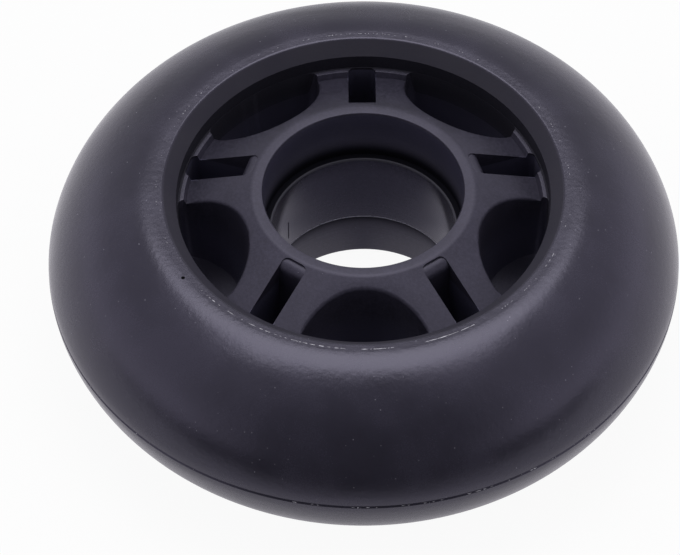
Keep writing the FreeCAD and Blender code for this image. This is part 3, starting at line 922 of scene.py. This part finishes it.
@dataclass
class Hub:
    """The moulded hub: bearing seats, collar, dished spokes, windows, rim and slots."""

    spacer_radius: float = 10.2
    seat_radius: float = 11.0
    seat_floor: float = 5.0
    land_round: float = 0.15
    chamfer: float = 0.15
    seat_lead: float = 0.35
    collar_radius: float = 12.3
    collar_end: float = 11.75
    collar_rounding: float = 1.2
    collar_runs: int = 10
    dish_end: float = 8.23
    ledge_foot: float = 19.55
    ledge_radius: float = 19.85
    ledge_top: float = 8.88
    mouth_foot: float = 20.483
    edge_round: float = 0.08
    spokes: int = SPOKES
    window_radius: float = 7.4
    window_centre: float = 21.8
    window_rim: float = 19.845
    window_corner: float = 0.8
    window_runs: int = 60
    window_rim_runs: int = 24
    window_corner_runs: int = 10
    window_edge_round: float = 0.35
    window_edge_step: int = 15
    least_edge_share: float = 0.02
    draft: float = 4.0
    slot_half: float = 1.525
    slot_corner: float = 0.7
    slot_corner_runs: int = 8
    slot_start: float = 12.5
    slot_end: float = 20.353
    slot_floor: float = 1.25
    lead_in_radius: float = 1.2
    lead_in_runs: int = 16
    lead_in_top: float = 11.35
    lead_in_bite: float = 0.1
    overrun: float = 0.6
    merge_gap: float = 0.002
    segments: int = 360
    crease: float = 30.0
    rim: Rim = field(default_factory=Rim)
    finish: HubFinish = field(default_factory=HubFinish)

    def section(self) -> List[Point]:
        """Returns the hub's section through a spoke, clockwise, before the slots are cut."""
        seat_foot = (self.seat_radius, self.seat_floor)
        seat_mouth = (self.seat_radius + self.chamfer, self.collar_end)
        collar_edge = (self.collar_radius, self.collar_end)
        dish_foot = (self.ledge_foot, self.dish_end)
        ledge_edge = (self.ledge_radius, self.ledge_top)
        rim_foot = (self.mouth_foot, self.ledge_top)
        outline = Outline().to((self.spacer_radius, 0.0))
        outline.round_to((self.spacer_radius, self.seat_floor), seat_foot, self.land_round)
        outline.to(seat_foot, (self.seat_radius, self.collar_end - self.seat_lead))
        outline.round_to(seat_mouth, collar_edge, self.edge_round)
        outline.round_to(collar_edge, dish_foot, self.collar_rounding, self.collar_runs)
        outline.to(dish_foot)
        outline.round_to(ledge_edge, rim_foot, self.edge_round)
        return outline.to(rim_foot, *self.rim.corners()).mirrored()

    def window_plan(self, height: float) -> List[Point]:
        """Returns a window's plan at a height: two arcs with soft corners between them."""
        growth = abs(height) * math.tan(math.radians(self.draft))
        window, outer, soft = self.window_radius + growth, self.window_rim + growth, self.window_corner
        x = ((outer - soft) ** 2 - (window - soft) ** 2 + self.window_centre ** 2) / (2 * self.window_centre)
        y = math.sqrt((outer - soft) ** 2 - x ** 2)
        outer_turn, window_turn = math.atan2(y, x), math.atan2(y, x - self.window_centre)
        runs = self.window_corner_runs
        plan = arc_points((0.0, 0.0), outer, -outer_turn, outer_turn, self.window_rim_runs)
        plan += arc_points((x, y), soft, outer_turn, window_turn, runs)[1:]
        plan += arc_points((self.window_centre, 0.0), window, window_turn, math.tau - window_turn,
                           self.window_runs)[1:]
        plan += arc_points((x, -y), soft, -window_turn, -outer_turn, runs)[1:-1]
        return [(across, -along) for along, across in plan]

    def edge_height(self, across: float) -> float:
        """Returns the height of a window's edge at a distance from the axis: on the dish or the ledge."""
        if across > self.ledge_foot:
            return self.ledge_top
        slope = (self.dish_end - self.collar_end) / (self.ledge_foot - self.collar_radius)
        return self.collar_end + (across - self.collar_radius) * slope

    def window_ring(self, turn: float, top: Optional[float] = None) -> List[Place]:
        """Returns one ring of a window's rounded upper edge.

        Args:
            turn: how far the round has turned: 0 on the window's wall, a right angle on the dished face.
            top: a level to put the whole ring at, in place of the edge's own height.

        Returns:
            The ring's points. The round dies out towards the rim.
        """
        plan = self.window_plan(self.dish_end)
        ring = []
        for number, guess in enumerate(plan):
            back, ahead = Vector(plan[number - 1]), Vector(plan[(number + 1) % len(plan)])
            away = Vector((ahead.y - back.y, back.x - ahead.x)).normalized()
            reach = math.hypot(*guess)
            fade = (self.ledge_foot - reach) / self.window_corner
            radius = self.window_edge_round * min(1.0, max(self.least_edge_share, fade))
            level = self.edge_height(reach)
            spot = Vector(self.window_plan(top or level)[number]) + away * radius * (1 - math.cos(turn))
            height = self.edge_height(spot.length) if fade > 0 else level
            ring.append((spot.x, spot.y, top or height - radius * (1 - math.sin(turn))))
        return ring

    def window_solid(self) -> Item:
        """Returns the tool that cuts one window right through, with both its edges rounded."""
        upper = [self.window_ring(math.radians(turn)) for turn in range(0, 91, self.window_edge_step)]
        upper.append(self.window_ring(math.pi / 2, self.collar_end + self.overrun))
        lower = [[(x, y, -z) for x, y, z in ring] for ring in reversed(upper)]
        middle = [(x, y, 0.0) for x, y in self.window_plan(0.0)]
        return loft("window_tool", lower + [middle] + upper)

    def slot_solid(self) -> Item:
        """Returns the tool that cuts one spoke's slots, along +Y, in both sides of the wheel."""
        inset = self.slot_half - self.slot_corner
        near, far = self.slot_start + self.slot_corner, self.slot_end - self.slot_corner
        plan: List[Point] = []
        for quarter, centre in enumerate(((inset, far), (-inset, far), (-inset, near), (inset, near))):
            first = quarter * math.pi / 2
            plan += arc_points(centre, self.slot_corner, first, first + math.pi / 2, self.slot_corner_runs)
        top = self.collar_end + self.overrun
        levels = ((self.slot_floor, top), (-top, -self.slot_floor))
        return join([loft("slot_tool", [[(x, y, z) for x, y in plan] for z in pair]) for pair in levels])

    def lead_in_solid(self) -> Item:
        """Returns the rounded lead-in of one slot on both sides of the wheel."""
        foot, start = self.slot_floor / 2, (self.slot_start, self.lead_in_top - self.lead_in_radius)
        outline = [(self.collar_radius, foot), (self.slot_start + self.lead_in_radius, foot)]
        outline += arc_points(start, self.lead_in_radius, 0.0, math.pi / 2, self.lead_in_runs)
        outline.append((self.collar_radius, self.lead_in_top))
        half = self.slot_half + self.lead_in_bite
        return join([loft("lead_in_tool", [
            [(across * side.value, along, up * side.value) for along, up in outline]
            for across in (-half, half)]) for side in Side])

    def mark_parting_line(self, hub: Item) -> None:
        """Marks the parting line on the mid-plane as sharp, outside the collar."""
        for edge in hub.data.edges:
            ends = [hub.data.vertices[number].co for number in edge.vertices]
            level = all(abs(end.z) < PLANE * MM for end in ends)
            edge.use_edge_sharp |= level and all(end.xy.length > self.collar_radius * MM for end in ends)

    def build(self, lathe: LatheTree, mould: MouldTree) -> List[Item]:
        """Makes the hub, dressed."""
        finish = self.finish.make("moulded_plastic")
        blank = lathe.turn("moulded_hub", self.section(), self.segments, finish)
        tools = {"Window": self.window_solid(), "Slot": self.slot_solid(), "Lead In": self.lead_in_solid()}
        hub = mould.run(blank, {"Spokes": self.spokes, **tools, "Finish": finish})
        join([hub], self.merge_gap)
        for tool in tools.values():
            bpy.data.objects.remove(tool)
        shade_smooth(hub, self.crease)
        self.mark_parting_line(hub)
        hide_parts(Piece.HUB.value)
        return [hub]


# The setting
@dataclass
class Studio:
    """White table, soft light from above and behind, and the photograph's camera."""

    floor: float
    table_size: float = 6000.0
    elevation: float = 50.31
    distance: float = 735.5
    focal_pixels: float = 6620.0
    image_width: int = 680
    image_height: int = 555
    centre_pixel: Point = (363.6, 258.2)
    roll: float = -0.0085
    back: Colour = (0.58, 0.58, 0.6, 1.0)
    back_span: Span = (0.6, 0.92)
    sides: Colour = (1.06, 1.03, 1.14, 1.0)
    upper_sides: Colour = (0.6, 0.59, 0.64, 1.0)
    sides_rise: Span = (0.0, 0.6)
    front: Colour = (0.16, 0.16, 0.17, 1.0)
    upper_front: Colour = (0.28, 0.28, 0.3, 1.0)
    front_rise: Span = (0.5, 0.95)
    front_span: Span = (0.45, 0.95)
    lamp_place: Place = (-5.0, 268.0, 800.0)
    lamp_size: Point = (650.0, 616.0)
    lamp_radiance: float = 3.2
    table: TableFinish = field(default_factory=TableFinish)

    def lay_table(self) -> None:
        """Lays the table that the wheel lies on."""
        half = self.table_size / 2 * MM
        plan = ((-half, -half), (half, -half), (half, half), (-half, half))
        mesh = bpy.data.meshes.new("table")
        mesh.from_pydata([(x, y, self.floor) for x, y in plan], [], [(0, 1, 2, 3)])
        mesh.materials.append(self.table.make("white_table"))
        table = link_object("table", mesh)
        table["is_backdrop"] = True

    def light_room(self) -> None:
        """Lights the room: pale all round, darker behind the camera."""
        world = bpy.data.worlds.new("pale_room")
        world.use_nodes = True
        bpy.context.scene.world = world
        graph = ShaderGraph(world.node_tree)
        way = graph.add("ShaderNodeTexCoord", output="Generated")
        x = graph.add("ShaderNodeSeparateXYZ", {0: way})
        y, z = x["Y"], x["Z"]
        ahead = y / graph.radius(x, y)
        side_walls = graph.blend(z.rise(*self.sides_rise), self.sides, self.upper_sides)
        walls = graph.blend(ahead.rise(*self.back_span), side_walls, self.back)
        front_wall = graph.blend(z.rise(*self.front_rise), self.front, self.upper_front)
        sky = graph.blend((-ahead).rise(*self.front_span), walls, front_wall)
        background = graph.add("ShaderNodeBackground", {"Color": sky, "Strength": 1.0})
        graph.add("ShaderNodeOutputWorld", {"Surface": background})

    def hang_lamp(self) -> None:
        """Hangs an oblong soft light that faces straight down."""
        lamp = bpy.data.lights.new("overhead", "AREA")
        lamp.shape = "RECTANGLE"
        lamp.size, lamp.size_y = (length * MM for length in self.lamp_size)
        lamp.energy = self.lamp_radiance * math.pi * lamp.size * lamp.size_y
        item = link_object("overhead", lamp)
        item.location = Vector(self.lamp_place) * MM
        item.visible_camera = False

    def set_camera(self) -> None:
        """Sets the camera at the photograph's viewing angle and framing."""
        camera = bpy.data.cameras.new("camera")
        camera.sensor_fit = "HORIZONTAL"
        camera.lens = self.focal_pixels / self.image_width * camera.sensor_width
        tilt = math.radians(self.elevation)
        back = Vector((0.0, -math.cos(tilt), math.sin(tilt)))
        turn = (-back).to_track_quat("-Z", "Y") @ Quaternion((0.0, 0.0, 1.0), self.roll)
        scale = self.distance / self.focal_pixels
        across = (self.image_width / 2 - self.centre_pixel[0]) * scale
        up = (self.centre_pixel[1] - self.image_height / 2) * scale
        item = link_object("camera", camera)
        item.rotation_mode = "QUATERNION"
        item.rotation_quaternion = turn
        item.location = (back * self.distance + turn @ Vector((across, up, 0.0))) * MM
        bpy.context.scene.camera = item

    def build(self) -> None:
        """Makes the whole setting."""
        self.lay_table()
        self.light_room()
        self.hang_lamp()
        self.set_camera()
        bpy.context.scene.view_settings.view_transform = "Standard"


def main() -> None:
    """Builds the wheel and its setting."""
    logging.basicConfig(level=logging.INFO, format="%(name)s: %(message)s")
    solid_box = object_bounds()
    low, high = solid_box
    lathe, mould, torn = LatheTree(), MouldTree(), FlashTree(FlashHabit())
    tyre = Tyre(radius=(high.x - low.x) / 2 / MM, width=(high.z - low.z) / MM)
    assemblies = ((Piece.TYRE, tyre.build(lathe, torn)), (Piece.HUB, Hub().build(lathe, mould)))
    for piece, items in assemblies:
        for item in items:
            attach(item, "root")
            LOG.info("%s: %d faces", item.name, len(item.data.polygons))
    Studio(floor=low.z).build()


if __name__ == "__main__":
    main()
